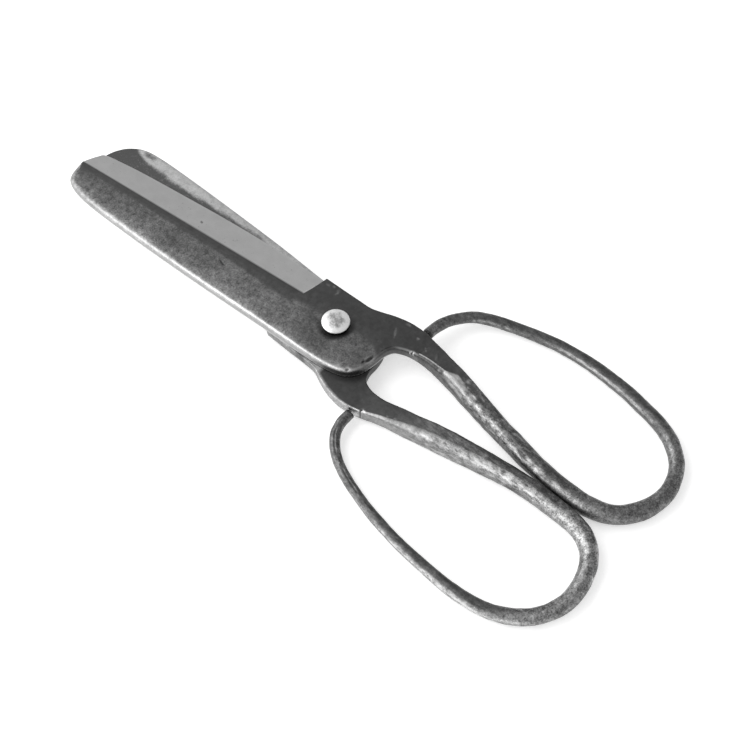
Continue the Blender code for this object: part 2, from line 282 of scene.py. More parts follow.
def plate_rows(rows, side, bevel):
    """Full sections from a table of plate rows."""
    result = []
    edge_radius = GROUND_EDGE_RADIUS if bevel else PLATE_EDGE_RADIUS
    for edge_x, edge_y, spine_x, spine_y, share in rows:
        along = min(max((spine_x - TIP_X) / (HEEL_X - TIP_X), 0.0), 1.0)
        rise = (side["outer"] - side["inner"]) * (TIP_THINNING + (1 - TIP_THINNING) * along) * share
        spine_radius = TIP_SPINE_RADIUS + (HEEL_SPINE_RADIUS - TIP_SPINE_RADIUS) * along
        result.append([
            edge_x, edge_y, spine_x, spine_y, side["inner"], side["inner"] + rise, bevel, 0.0,
            edge_radius, spine_radius, INNER_CORNER_RADIUS, INNER_CORNER_RADIUS, 0.0,
        ])
    return result


def handle_rows(half):
    """Full sections square to a handle's path, growing rounder from the shank to the bow.

    The shank keeps a flat top: its flat_corner stays crisp for flat_length mm, while its
    broad_corner is hammered round at once."""
    inner_sign, flat_length = half["inner_sign"], half["flat_length"]
    path = smooth_rows(half["handle"], PATH_SPACING)
    result = []
    travelled = 0.0
    for i, (x, y, lift, width, depth) in enumerate(path):
        behind, ahead = path[max(i - 1, 0), :2], path[min(i + 1, len(path) - 1), :2]
        direction = unit(ahead - behind)
        across = np.array((-direction[1], direction[0])) * width / 2 * -inner_sign
        if i:
            travelled += np.linalg.norm(path[i, :2] - path[i - 1, :2])
        middle = max(lift, 0.0) + depth / 2
        reach = min(width, depth) / 2
        corners = [blended(0.36, FULL_ROUND, smoothstep(5, 60, travelled))] * 4
        past_flat = smoothstep(flat_length, flat_length + 28, travelled)
        corners[half["flat_corner"] - EDGE_OUT] = blended(0.14, FULL_ROUND, past_flat)
        corners[half["broad_corner"] - EDGE_OUT] = blended(0.40, FULL_ROUND, smoothstep(0, 20, travelled))
        result.append([
            x + across[0], y + across[1], x - across[0], y - across[1],
            middle + inner_sign * depth / 2, middle - inner_sign * depth / 2, 0.0, 1.0,
            *(reach * corner for corner in corners), travelled,
        ])
    return result


def all_sections(half):
    """Every section of one half, from its tip to the free end of its bow."""
    blade = smooth_rows(plate_rows(half["blade"], half["side"], 1.0), BLADE_SPACING)
    plate = plate_rows(half["plate"], half["side"], 0.0)
    handle = handle_rows(half)
    fine_gaps = len(plate) + FINE_HANDLE_ROWS - 1
    coarse_gaps = len(handle) - FINE_HANDLE_ROWS
    rest = smooth_rows(plate + handle, [PLATE_SPACING] * fine_gaps + [HANDLE_SPACING] * coarse_gaps)
    join = int(np.argmax(rest[:, HANDLE] > 0.5))
    for _ in range(JOIN_PASSES):
        window = rest[join - JOIN_REACH:join + JOIN_REACH]
        window[1:-1] = (window[:-2] + 2 * window[1:-1] + window[2:]) / 4
    plunge = []
    for share in PLUNGE_STEPS:
        row = blended(blade[-1], rest[0], share)
        row[BEVEL] = 1 - smoothstep(0, 1, share)
        plunge.append(row)
    return np.vstack([blade, plunge, rest])


def inward(points, other):
    """Plan directions from an outline into the metal, square to the outline."""
    along = np.gradient(points, axis=0)
    normal = unit(np.stack([-along[:, 1], along[:, 0]], axis=1))
    to_other = other - points
    if (normal * to_other).sum() < 0:
        normal = -normal
    for end in (0, -1):
        normal[end] = unit(to_other[end])
    return normal


def beyond(line, points):
    """Signed plan distance of points from a line, positive on its left."""
    start, stop = np.array(line[0]), np.array(line[1])
    along = unit(stop - start)
    return (points[..., 0] - start[0]) * -along[1] + (points[..., 1] - start[1]) * along[0]


def rings_of(sections, half):
    """Points of every ring and the stretch that each point of a ring belongs to."""
    edge, spine = sections[:, EX:EY + 1], sections[:, SX:SY + 1]
    edge_in, spine_in = inward(edge, spine), inward(spine, edge)
    width = np.linalg.norm(spine - edge, axis=1)
    inner = sections[:, INNER]
    up = np.sign(sections[:, OUTER] - inner)
    depth = np.abs(sections[:, OUTER] - inner)
    on_handle = sections[:, HANDLE] > 0.5

    edge_past = beyond(half["bevel_line"], edge) * half["bevel_side"]
    spine_past = beyond(half["bevel_line"], spine) * half["bevel_side"]
    slope = np.clip(edge_past / np.maximum(edge_past, BEVEL_MIN_WIDTH), 0, 1)
    edge_depth = depth - sections[:, BEVEL] * (depth - EDGE_THICKNESS) * slope
    ridge = np.clip(edge_past / (edge_past - spine_past), *RIDGE_LIMITS)
    ridge[on_handle] = 0.5

    def corner_size(column, height):
        share = np.where(on_handle, CORNER_SHARE, PLATE_CORNER_SHARE)
        across = np.minimum(sections[:, column], share * width)
        return across, np.minimum(sections[:, column], CORNER_SHARE * height)

    def at(plan, height):
        return np.concatenate([plan, (inner + up * height)[:, None]], axis=1)

    def corner(base, direction, size, top, turns):
        across, high = size
        found = []
        for angle in turns:
            plan = base + direction * (across * (1 - math.cos(angle)))[:, None]
            cut = high * (1 - math.sin(angle))
            found.append(at(plan, cut if top is None else top - cut))
        return found

    def between(a, b, count):
        return [a + (b - a) * (k + 1) / (count + 1) for k in range(count)]

    turns = np.linspace(0, math.pi / 2, CORNER_POINTS)
    small_turns = np.linspace(0, math.pi / 2, INNER_CORNER_POINTS)
    edge_arc = corner(edge, edge_in, corner_size(EDGE_OUT, edge_depth), edge_depth, turns)
    spine_arc = corner(spine, spine_in, corner_size(SPINE_OUT, depth), depth, turns[::-1])
    spine_foot = corner(spine, spine_in, corner_size(SPINE_IN, depth), None, small_turns)
    edge_foot = corner(edge, edge_in, corner_size(EDGE_IN, edge_depth), None, small_turns[::-1])
    ridge_point = at(edge + (spine - edge) * ridge[:, None], depth)
    stretches = [
        (edge_arc, "edge_corner"),
        (between(edge_arc[-1], ridge_point, BEVEL_POINTS), "bevel"),
        ([ridge_point], "ridge"),
        (between(ridge_point, spine_arc[0], FACE_POINTS), "face"),
        (spine_arc, "spine_corner"),
        (between(spine_arc[-1], spine_foot[0], WALL_POINTS), "spine_wall"),
        (spine_foot, "spine_foot"),
        (between(spine_foot[-1], edge_foot[0], INNER_POINTS), "inner"),
        (edge_foot, "edge_foot"),
        (between(edge_foot[-1], edge_arc[0], WALL_POINTS), "edge_wall"),
    ]
    points = [p for found, _ in stretches for p in found]
    zones = [zone for found, zone in stretches for _ in found]
    return np.stack(points, axis=1), np.array(zones)


def rounded_end(ring, neighbour):
    """Rings that round a cut end off, from the last full one to the smallest."""
    middle = ring.mean(0)
    back = unit((neighbour.mean(0) - middle) * (1, 1, 0))
    reach = np.linalg.norm(ring - middle, axis=1).mean()
    result = []
    for angle in np.linspace(0, math.pi / 2, END_RINGS):
        shrink = 1 - min(END_ROUNDING / reach, 0.6) * (1 - math.cos(angle))
        result.append(middle + (ring - middle) * shrink + back * END_ROUNDING * (1 - math.sin(angle)))
    return result


def noise_field(points, size, seed, octaves=3):
    """Fractal noise about -1..1 at points in mm, for features of that size."""
    shift = Vector((seed * 7.3, seed * 3.1, seed * 5.7))
    return np.array([noise.fractal(Vector(p) / size + shift, 0.8, 2.0, octaves) for p in points])


def pressed(flat, centre, along, length, width):
    """A soft-edged oblong of 1 around a plan point, falling to 0 at its rim."""
    direction = unit(np.array(along, float))
    offset = flat[:, :2] - np.array(centre)
    lengthwise = offset @ direction / (length / 2)
    crosswise = offset @ np.array((-direction[1], direction[0])) / (width / 2)
    return 1 - smoothstep(0.4, 1.0, np.hypot(lengthwise, crosswise))


def mesh_object(name, vertices, faces):
    """A mesh object from points in metres, with its faces pointing out."""
    shape = bmesh.new()
    added = [shape.verts.new(place) for place in vertices]
    for face in faces:
        shape.faces.new([added[k] for k in face])
    bmesh.ops.recalc_face_normals(shape, faces=shape.faces)
    mesh = bpy.data.meshes.new(name)
    shape.to_mesh(mesh)
    shape.free()
    item = bpy.data.objects.new(name, mesh)
    bpy.context.scene.collection.objects.link(item)
    return item


def tube_faces(rings, around, closed=False):
    """Quads between rings of points; a closed tube runs back into its first ring."""
    faces = []
    for i in range(rings if closed else rings - 1):
        here, there = i * around, (i + 1) % rings * around
        for k in range(around):
            n = (k + 1) % around
            faces.append((here + k, here + n, there + n, there + k))
    return faces


def capped_tube_faces(rings, around):
    """Quads of a tube of rings, and its two end faces."""
    last = (rings - 1) * around
    return tube_faces(rings, around) + [tuple(range(around)), tuple(range(last, last + around))]


def ring_points(radius, z, sides):
    """Points round the pivot axis, in mm."""
    angles = [2 * math.pi * k / sides for k in range(sides)]
    return [(radius * math.cos(angle), radius * math.sin(angle), z) for angle in angles]


def vertex_normals(mesh):
    normals = np.empty(len(mesh.vertices) * 3, np.float32)
    mesh.vertex_normals.foreach_get("vector", normals)
    return normals.reshape(-1, 3)


def set_attribute(mesh, name, values):
    layer = mesh.attributes.new(name, "FLOAT", "POINT")
    layer.data.foreach_set("value", np.asarray(values, np.float32))


def carve(mesh, flat, normals, cut, box):
    """Move points inwards by the cut at each, in mm, and keep them in a box given in metres."""
    low, high = (np.array(corner) / MM for corner in box)
    carved = np.clip(flat - normals * cut[:, None], low, high)
    mesh.vertices.foreach_set("co", (carved * MM).astype(np.float32).ravel())


def forged_half(name, half):
    """One half: its forged body with worked-in marks and the fields that its material reads."""
    sections = all_sections(half)
    points, zones = rings_of(sections, half)
    head = rounded_end(points[0], points[4])[::-1]
    tail = rounded_end(points[-1], points[-5])
    points = np.concatenate([head, points[2:-2], tail])
    sections = np.concatenate([sections[[0] * END_RINGS], sections[2:-2], sections[[-1] * END_RINGS]])
    rings, around = points.shape[:2]
    flat = points.reshape(-1, 3)
    item = mesh_object(name, flat * MM, capped_tube_faces(rings, around))

    # What the worked_ functions read of each point: where it is and which way it faces.
    every = np.repeat(sections, around, axis=0)
    travelled = every[:, TRAVELLED]
    handle = every[:, HANDLE] > 0.5
    place = {
        "x": flat[:, 0],
        "y": flat[:, 1],
        "zone": np.tile(zones, rings),
        "handle": handle,
        "bevel": every[:, BEVEL] > 0.5,
        "travelled": travelled,
        "shank": handle & (travelled < SHANK_END),
        "thin": smoothstep(THIN_START, THIN_FULL, travelled),
        "to_end": sections[-1, TRAVELLED] - travelled,
        "from_spine": np.linalg.norm(flat[:, :2] - every[:, SX:SY + 1], axis=1),
        "past_bevel": beyond(half["bevel_line"], flat) * half["bevel_side"],
        "normal": vertex_normals(item.data),
    }
    fields = half["worked"](flat, place)
    # Blades and plates are only cut into, while handles also swell.
    cut = fields.pop("cut")
    on_plate = travelled == 0
    cut = np.where(on_plate, np.maximum(cut, 0), cut)
    carve(item.data, flat, place["normal"], cut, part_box(half["node"]))
    for key, values in fields.items():
        set_attribute(item.data, key, values)
    close_ends(item.data)
    drill(item)
    divide_many_sided(item.data)
    return item


def many_sided(shape):
    return [face for face in shape.faces if len(face.verts) > 4]


def close_ends(mesh):
    """Fan each end face out from a point in its middle."""
    shape = bmesh.new()
    shape.from_mesh(mesh)
    for end in many_sided(shape):
        rim = list(end.verts)
        middle = bmesh.ops.poke(shape, faces=[end])["verts"][0]
        for field in shape.verts.layers.float.values():
            middle[field] = sum(point[field] for point in rim) / len(rim)
    shape.to_mesh(mesh)
    shape.free()


def divide_many_sided(mesh):
    """Divide the many-sided faces that drilling leaves round the hole into triangles."""
    shape = bmesh.new()
    shape.from_mesh(mesh)
    bmesh.ops.triangulate(shape, faces=many_sided(shape))
    shape.to_mesh(mesh)
    shape.free()


def drill(item):
    """Cut the pivot hole through a half."""
    points = [point for z in HOLE_ENDS for point in ring_points(HOLE_RADIUS, z, HOLE_SIDES)]
    cutter = mesh_object("hole_cutter", np.array(points) * MM, capped_tube_faces(2, HOLE_SIDES))
    cut = item.modifiers.new("pivot hole", "BOOLEAN")
    cut.operation = "DIFFERENCE"
    cut.solver = "EXACT"
    cut.object = cutter
    depsgraph = bpy.context.evaluated_depsgraph_get()
    drilled = bpy.data.meshes.new_from_object(
        item.evaluated_get(depsgraph), preserve_all_data_layers=True, depsgraph=depsgraph
    )
    item.modifiers.clear()
    item.data = drilled
    bpy.data.objects.remove(cutter)


def zone_in(place, *names):
    return np.isin(place["zone"], names)


def ground_zones(place):
    """The flat inner face, the bevel and the cutting edge itself."""
    edge = zone_in(place, "bevel", "edge_corner", "edge_wall", "edge_foot")
    return zone_in(place, "inner", "spine_foot") | (edge & place["bevel"])


def hammered(flat, place):
    """How deep hammering and scale cut into the metal, in mm."""
    handle = place["handle"]
    broad = noise_field(flat * (0.6, 1, 1), 7.0, 1, 2)
    middle = noise_field(flat, 2.6, 2, 3)
    fine = noise_field(flat, 1.0, 3, 2)
    rough = np.where(handle, 0.20, 0.03) * broad + np.where(handle, 0.07, 0.012) * middle + 0.012 * fine
    flat_face = zone_in(place, "ridge", "face", "bevel", "inner") & handle & (place["x"] < 56)
    rough = np.where(flat_face, 0.35 * rough, rough)
    smooth_spine = zone_in(place, "spine_corner") & ~handle
    return np.where((place["ground"] > 0.5) | smooth_spine, 0.012 * broad, rough)


def marked(flat, marks, where, fields):
    """Press each mark into the metal, paint it darker and change the wear there."""
    for x, y, along_x, along_y, length, width, depth, grime_and_shade, wear_and_painted_light in marks:
        centre, along = (x, y), (along_x, along_y)
        inside = pressed(flat, centre, along, length, width) * where
        around = pressed(flat, centre, along, length + MARK_RIM, width + MARK_RIM) * where
        fields["cut"] = fields["cut"] + depth * inside
        fields["grime_and_shade"] = np.maximum(fields["grime_and_shade"], grime_and_shade * inside)
        if depth > DEEP_MARK:
            fields["wear_and_painted_light"] = fields["wear_and_painted_light"] + 0.25 * (around - inside)
        if wear_and_painted_light > 0:
            fields["wear_and_painted_light"] = blended(fields["wear_and_painted_light"], wear_and_painted_light, inside)


# A deep mark has a rubbed rim: how much longer and wider that is, and from which depth.
MARK_RIM = 1.4
DEEP_MARK = 0.2
# Marks: x, y, along x, along y, length, width, depth, how much darker it is painted, wear (0 leaves the
# wear as it is).
UPPER_MARKS = [
    (19.0, -3.3, 0.5, 3.8, 4.8, 2.0, 0.25, 0.8, 0.0),
    (18.0, -5.6, 0.3, 1.0, 1.6, 1.0, 0.20, 0.9, 0.0),
    (-48.2, -8.3, 3.6, -0.9, 4.8, 0.9, 0.06, 0.7, 0.0),
    (16.0, -11.7, 1.0, 1.2, 2.2, 1.2, 0.30, 0.8, 0.0),
    (-12.8, 10.4, 1.0, 0.2, 2.8, 1.2, 0.02, 0.0, 0.28),
    (-10.6, 10.8, 1.0, -0.3, 2.4, 1.1, 0.02, 0.0, 0.34),
    (-8.4, 10.7, 1.0, 0.1, 2.2, 1.2, 0.02, 0.0, 0.30),
    (-7.9, 9.6, 0.5, 1.0, 2.4, 1.0, 0.02, 0.0, 0.34),
    (18.4, 10.8, 2.7, -4.3, 6.4, 1.3, 0.05, 0.0, 0.26),
    (26.1, 14.2, 1.0, 0.2, 1.8, 1.4, 0.02, 0.0, 0.36),
    (19.6, 16.6, 1.0, 0.1, 3.4, 1.6, 0.03, 0.0, 0.32),
    (31.0, 12.6, 1.0, -0.8, 3.0, 1.0, 0.03, 0.0, 0.28),
    (35.6, 12.9, 1.0, -1.4, 4.0, 1.4, 0.03, 0.0, 0.24),
    (81.3, 4.3, 6.2, -1.7, 8.5, 2.2, 0.15, 0.75, 0.0),
    (27.6, 8.3, 0.3, 1.0, 1.9, 0.5, 0.0, 0.0, 1.0),
    (28.1, 8.5, 0.3, 1.0, 1.8, 0.5, 0.21, 1.0, 0.0),
    (28.7, 8.7, 0.3, 1.0, 2.0, 0.5, 0.0, 0.0, 1.0),
]
LOWER_MARKS = [
    (26.6, -20.1, 3.2, 0.7, 3.4, 1.4, 0.10, 0.0, 1.0),
    (27.6, -20.7, 3.2, 0.9, 3.2, 1.0, 0.35, 0.9, 0.0),
    (28.9, -19.2, 0.2, 1.0, 2.6, 0.7, 0.40, 1.0, 0.0),
    (30.0, -18.6, 1.0, 0.2, 1.6, 1.2, 0.05, 0.0, 1.0),
    (37.6, -15.2, 1.0, 0.3, 1.4, 1.0, 0.05, 0.0, 0.35),
    (-2.2, -16.6, 1.0, 0.1, 5.6, 3.0, 0.0, 0.55, 0.0),
    (-13.0, -16.6, 1.0, 0.1, 2.6, 1.6, 0.0, 0.35, 0.0),
    (40.2, -14.3, 1.0, 0.3, 1.6, 1.2, 0.05, 0.0, 0.38),
]
# Directions towards the lamp: the handles' rubbed shoulders that face them are painted brightest, a
# painted highlight on top of wear, and the thin rods get a painted highlight line where they face LOW_SIDE
# and BEND_SIDE.
UPPER_LIT_SIDE = np.array((0.0, -0.73, 0.68))
LOWER_LIT_SIDE = np.array((0.0, -0.61, 0.79))
LOW_SIDE = np.array((0.0, -0.87, 0.49))
BEND_SIDE = np.array((0.50, -0.71, 0.49))
# The upper shank's flat top ends at this line across it.
FLAT_TOP_END = ((40.6, 10.9), (46.8, 13.3))
# The dark plate starts here, where the bevel ends.
PLATE_X = -18.5
# Edge of the stain on the lower blade's inner face: x, y.
STAIN_LINE = [
    (-118, 24), (-114, 13), (-112, 10.2), (-109, 9.0), (-104, 7.8), (-99.7, 8.0),
    (-95.7, 8.2), (-91, 7.8), (-83, 8.5), (-67, 9.9), (-54, 11.1), (-42, 11.7),
]


def handle_wear_and_highlights(place, lit_side, rubbed_and_painted_light, lit_side_brightening, thin_lit_side_brightening, bow_end_wear):
    """Wear of the handles with painted light: rubbed and painted brightest on the shoulder that faces the
    lamp, lighter painted sides towards -Y, a painted highlight line on the thin rods, and more even wear
    round the bow's end.
    """
    normal = place["normal"]
    # Painted highlights: the shoulder facing the lamp, a narrow line on the thin rods, and the sides
    # facing -Y towards the lamp.
    lit_shoulder = smoothstep(0.72, 0.98, normal @ lit_side)
    line = smoothstep(0.95, 0.998, np.maximum(normal @ LOW_SIDE, normal @ BEND_SIDE))
    side = smoothstep(0.35, 0.9, -normal[:, 1])
    bow_end = smoothstep(62, 80, place["travelled"])
    wear_and_painted_light = 0.19 + rubbed_and_painted_light * lit_shoulder * (1 - 0.4 * bow_end) + bow_end_wear * bow_end
    wear_and_painted_light = wear_and_painted_light + lit_side_brightening * side * (1 - lit_shoulder)
    thin_wear = np.interp(place["to_end"], (0, 22, 45), (0.27, 0.24, 0.16))
    return blended(wear_and_painted_light, thin_wear + thin_lit_side_brightening * side + 0.42 * line, place["thin"])


def handle_lively(place, flat_top):
    """How strongly the handles are mottled: calm on the shank, strongest half way along the bow."""
    lively = np.interp(place["travelled"], (0, 14, 26, 62, 78), (0.7, 1.2, 1.75, 1.6, 1.4))
    unlit = smoothstep(0.5, 0.0, place["normal"] @ LOW_SIDE)
    return blended(lively, 1.2, place["thin"]) * (1 - 0.45 * flat_top) * (1 + 0.4 * unlit)


def dark_free_ends(place):
    """The bows' free ends are painted dark over about their last millimetre."""
    return 0.7 * smoothstep(1.3, 0.3, place["to_end"])


def drawn_out(place):
    """Where the marks of hammering run lengthwise rather than evenly."""
    travelled = place["travelled"]
    return smoothstep(4, 14, travelled) * (1 - smoothstep(58, 72, travelled)) + 0.8 * place["thin"]


def upper_scale(place):
    """How dark the upper half's scale is: most beside the bevel, behind the pivot and at the tip."""
    x, y = place["x"], place["y"]
    behind = -place["past_bevel"]
    band = np.interp(x, (-120, -50, -20), (2.0, 3.2, 5.0))
    core = 1 - smoothstep(1.5, 2.1, behind)
    blade = np.maximum(core, 0.75 * (1 - smoothstep(0.85 * band, 1.25 * band, behind)))
    limit = np.interp(x, (-18, -6, 5, 12, 17, 21, 26, 34), (1.0, 3.0, 4.4, 5.6, 4.5, 3.0, 7.0, 8.0))
    plate = np.maximum(smoothstep(-0.6, 0.8, y - limit), 0.75 * smoothstep(-4.5, -2.0, y - limit))
    tip = (1 - smoothstep(-118, -113, x)) * smoothstep(-15, -11, y)
    return np.maximum(np.where(x > PLATE_X, plate, blade), tip)


def upper_plate_wear_and_light(flat, place, scale, blotches):
    """Wear of the upper blade and plate: a faint felt that brightens to the rubbed spine, with a painted
    highlight along the spine's corner and painted shade on the walls round the plate's end.
    """
    x, from_spine = place["x"], place["from_spine"]
    felt = np.interp(x, (-120, -102, -85, -50, 0), (0.10, 0.14, 0.17, 0.25, 0.24))
    felt = felt + 0.08 * noise_field(flat, 14.0, 8, 2)
    # Rubbed spine and painted highlight: a broad sheen spreading in from the spine and a narrow line on
    # its corner, faded where the plate's end turns away from the lamp.
    spread = np.interp(x, (-120, -60, 0), (3.8, 2.9, 2.0))
    rubbed_spine_highlight = np.interp(x, (-120, 0), (0.50, 0.36)) * np.exp(-from_spine / spread) * smoothstep(22, 12, x)
    line = np.interp(x, (-120, -95, -60, -20), (0.18, 0.29, 0.36, 0.42))
    rubbed_spine_highlight = rubbed_spine_highlight + line * np.exp(-((from_spine - 0.45) / 0.40) ** 2)
    rubbed_spine_highlight = rubbed_spine_highlight * np.interp(x, (17, 20.6, 21.4, 24), (1.0, 0.35, 0.35, 1.0))
    wear_and_painted_light = felt * (1 - 0.9 * scale) + 0.05 * blotches * scale * (x > PLATE_X)
    wear_and_painted_light = wear_and_painted_light + rubbed_spine_highlight * (1 - 0.8 * scale * (from_spine > 3))
    # Spine walls: lighter along the blade, and painted darker round the plate's end, where the wall faces
    # into the shaded crotch: painted shade.
    wall = np.interp(x, (-120, 2, 10, 18, 24, 30), (0.66, 0.62, 0.34, 0.18, 0.18, 0.40))
    wear_and_painted_light = np.where(zone_in(place, "spine_wall", "spine_foot"), wall, wear_and_painted_light)
    return np.where(zone_in(place, "edge_wall", "edge_foot"), 0.3, wear_and_painted_light)


def upper_plate_lively(place, scale):
    """How strongly the upper blade and plate are mottled: calm on the walls and along the spine."""
    lively = np.where(zone_in(place, "spine_wall", "spine_foot"), 0.35, 1 - 0.6 * scale)
    lively = lively * (1 - 0.6 * (1 - smoothstep(0.6, 2.0, place["from_spine"])))
    return lively * np.interp(place["x"], (-120, -100, -80, -40), (0.9, 1.1, 1.2, 1.0))


def worked_upper(flat, place):
    """Marks and surface fields of the upper half."""
    x, y, handle, shank = place["x"], place["y"], place["handle"], place["shank"]
    steel = ground_zones(place)
    place["ground"] = np.where(handle, 0.0, steel * (1 - smoothstep(21, 27, x)))
    top = zone_in(place, "face", "ridge", "bevel", "spine_corner", "edge_corner") & ~(steel & ~handle)
    scale = upper_scale(place)
    blotches = noise_field(flat, 3.2, 12, 3)

    past_flat = smoothstep(-0.3, 0.3, -beyond(FLAT_TOP_END, flat))
    flat_top = zone_in(place, "face", "ridge", "bevel", "edge_corner") * (1 - past_flat) * shank
    # How brightly the shoulder facing the lamp is painted: rubbed metal and painted highlight.
    rubbed_and_painted_light = np.interp(place["travelled"], (6, 14, 28), (0.25, 0.30, 0.37))
    rod = handle_wear_and_highlights(place, UPPER_LIT_SIDE, rubbed_and_painted_light, 0.05, 0.12, 0.12)
    rod = blended(rod, 0.10 + 0.07 * blotches, flat_top)
    # A painted highlight along the shank's rubbed top edge, where it faces straight up.
    edge_highlight = zone_in(place, "spine_corner") & shank & (x < 43)
    rod = np.where(edge_highlight, 0.22 + 0.62 * smoothstep(0.92, 0.98, place["normal"][:, 2]), rod)

    # A worn facet, where the flat shank turns into the round rod.
    facet = pressed(flat, (46.2, 9.9), (8.3, -1.9), 13.0, 6.6) + 0.22 * noise_field(flat, 1.6, 11, 2)
    facet = np.clip(4 * facet, 0, 1) * past_flat * top * shank
    across_facet = (y - 9.2) + 0.23 * (x - 45.3)
    rod = blended(rod, 0.70, facet)
    fields = {
        "cut": blended(hammered(flat, place), np.clip(0.45 - 0.30 * across_facet, 0, 1.1), facet),
        "grime_and_shade": dark_free_ends(place),
        "wear_and_painted_light": np.where(handle, rod, upper_plate_wear_and_light(flat, place, scale, blotches)),
    }
    marked(flat, UPPER_MARKS, top, fields)

    # Painted shadow round the rivet's head, strongest on the side towards the camera, and a pit in the
    # bevel.
    reach = np.hypot(x, y)
    shaded = np.clip(0.4 + 0.8 * (0.665 * x - 0.747 * y) / np.maximum(reach, 0.1), 0, 1)
    fields["grime_and_shade"] = np.maximum(fields["grime_and_shade"], (1 - smoothstep(5.9, 8.0, reach)) * shaded * top)
    pit = pressed(flat, (-67.4, 0.4), (1, 0), 1.7, 1.4) * zone_in(place, "bevel")
    fields["cut"] = fields["cut"] + 0.12 * pit
    fields["stain"] = 0.8 * pit
    fields["ground"] = place["ground"]
    rod_lively = handle_lively(place, flat_top) * (1 - 0.45 * facet)
    fields["lively"] = np.where(handle, rod_lively, upper_plate_lively(place, scale))
    fields["drawn_out"] = drawn_out(place)
    return fields


def lower_plate_wear_and_shade(flat, place, below, flat_top):
    """Wear of the lower blade and plate, with painted shade on its wall round into the crotch."""
    x = place["x"]
    wear_and_painted_light = np.interp(x, (-118, -20, 6, 10, 26, 30), (0.60, 0.52, 0.56, 0.62, 0.62, 0.52))
    wear_and_painted_light = np.where(zone_in(place, "edge_foot") & (x > 6), 0.68, wear_and_painted_light)
    wear_and_painted_light = np.where(zone_in(place, "edge_wall", "edge_corner") & (x < 6), 0.44, wear_and_painted_light)
    wear_and_painted_light = wear_and_painted_light + 0.14 * noise_field(flat, 3.0, 9, 2) * smoothstep(8, 4, x)
    wear_and_painted_light = np.where(below, 0.22 + 0.05 * noise_field(flat, 12.0, 10, 2), wear_and_painted_light)
    # Painted shade: the spine-side wall is painted darker as it turns into the crotch.
    shaded_crotch_wall = np.interp(x, (2, 8), (0.35, 0.12))
    wear_and_painted_light = np.where(zone_in(place, "spine_wall", "spine_corner", "spine_foot"), shaded_crotch_wall, wear_and_painted_light)
    return blended(wear_and_painted_light, 0.05, flat_top)


def lower_stain(flat, place):
    """The stain on the lower blade's inner face, beside the upper blade and all over the tip."""
    x, y = place["x"], place["y"]
    limit = np.interp(x, *np.array(STAIN_LINE).T)
    strength = np.interp(x, (-112, -100, -80, -60, -48, -40), (1.0, 0.95, 0.92, 0.88, 0.7, 0.0))
    stain = strength * (1 - smoothstep(-1.0, 0.8, y - limit))
    stain = np.maximum(stain, 0.68 * pressed(flat, (-105.4, 10.6), (6.5, 0.9), 9.5, 3.8))
    upper_edge = np.interp(x, *np.array(UPPER_BLADE)[:, EX:EY + 1].T)
    stain = stain * np.maximum(smoothstep(-5.5, -2.0, y - upper_edge), smoothstep(-104, -110, x))
    return np.maximum(stain, 0.30) * zone_in(place, "inner", "spine_foot") * (x < 0)


def worked_lower(flat, place):
    """Marks and surface fields of the lower half."""
    x, y, handle, shank = place["x"], place["y"], place["handle"], place["shank"]
    dull = smoothstep(6.5, 8.5, x) * zone_in(place, "inner", "edge_foot", "spine_foot")
    place["ground"] = np.where(handle, 0.0, ground_zones(place) * (1 - dull))
    top = zone_in(place, "edge_foot", "inner", "edge_wall")
    below = zone_in(place, "face", "ridge", "bevel")

    before_round = 1 - smoothstep(34, 53, x - 0.8 * (y + 10))
    flat_top = zone_in(place, "inner", "spine_foot") * np.where(handle, before_round * shank, x > 7)
    # How much lighter the thin rod's sides towards the lamp are painted: painted light.
    thin_lit_side = np.interp(place["travelled"], (118, 135, 165, 200), (0.50, 0.60, 0.42, 0.17))
    rod = handle_wear_and_highlights(place, LOWER_LIT_SIDE, 0.60, 0.17, thin_lit_side, 0.23)
    rod = blended(rod, 0.05, flat_top)
    # Painted light: the shank's upright wall on the side facing the lamp is painted lighter than its dark
    # top.
    upright = smoothstep(0.8, 0.5, place["normal"][:, 2])
    wall = zone_in(place, "edge_wall", "edge_corner", "edge_foot") * upright
    wall = wall * (1 - smoothstep(25, 45, place["travelled"])) * shank
    rod = blended(rod, 0.52, wall)
    fields = {
        "cut": hammered(flat, place),
        "grime_and_shade": dark_free_ends(place),
        "wear_and_painted_light": np.where(handle, rod, lower_plate_wear_and_shade(flat, place, below, flat_top)),
    }
    marked(flat, LOWER_MARKS, top, fields)

    fields["stain"] = lower_stain(flat, place)
    fields["ground"] = place["ground"]
    calm = handle_lively(place, flat_top) * np.interp(place["travelled"], (0, 35, 60), (0.6, 0.7, 1.0))
    plate_lively = np.where(flat_top > 0.5, 0.4, np.where(below, 1.0, 0.5))
    fields["lively"] = np.where(handle, calm, plate_lively)
    fields["drawn_out"] = drawn_out(place)
    return fields


HALVES = {
    "upper_forging": {
        "node": "upper_half", "body": "upper_body", "slot": "upper_iron",
        "blade": UPPER_BLADE, "plate": UPPER_PLATE, "handle": UPPER_HANDLE, "side": UPPER,
        "inner_sign": -1, "bevel_line": UPPER_BEVEL_LINE, "bevel_side": 1,
        "flat_corner": EDGE_OUT, "flat_length": 10.0, "broad_corner": SPINE_OUT, "worked": worked_upper,
    },
    "lower_forging": {
        "node": "lower_half", "body": "lower_body", "slot": "lower_iron",
        "blade": LOWER_BLADE, "plate": LOWER_PLATE, "handle": LOWER_HANDLE, "side": LOWER,
        "inner_sign": 1, "bevel_line": LOWER_BEVEL_LINE, "bevel_side": -1,
        "flat_corner": SPINE_IN, "flat_length": 22.0, "broad_corner": EDGE_IN, "worked": worked_lower,
    },
}


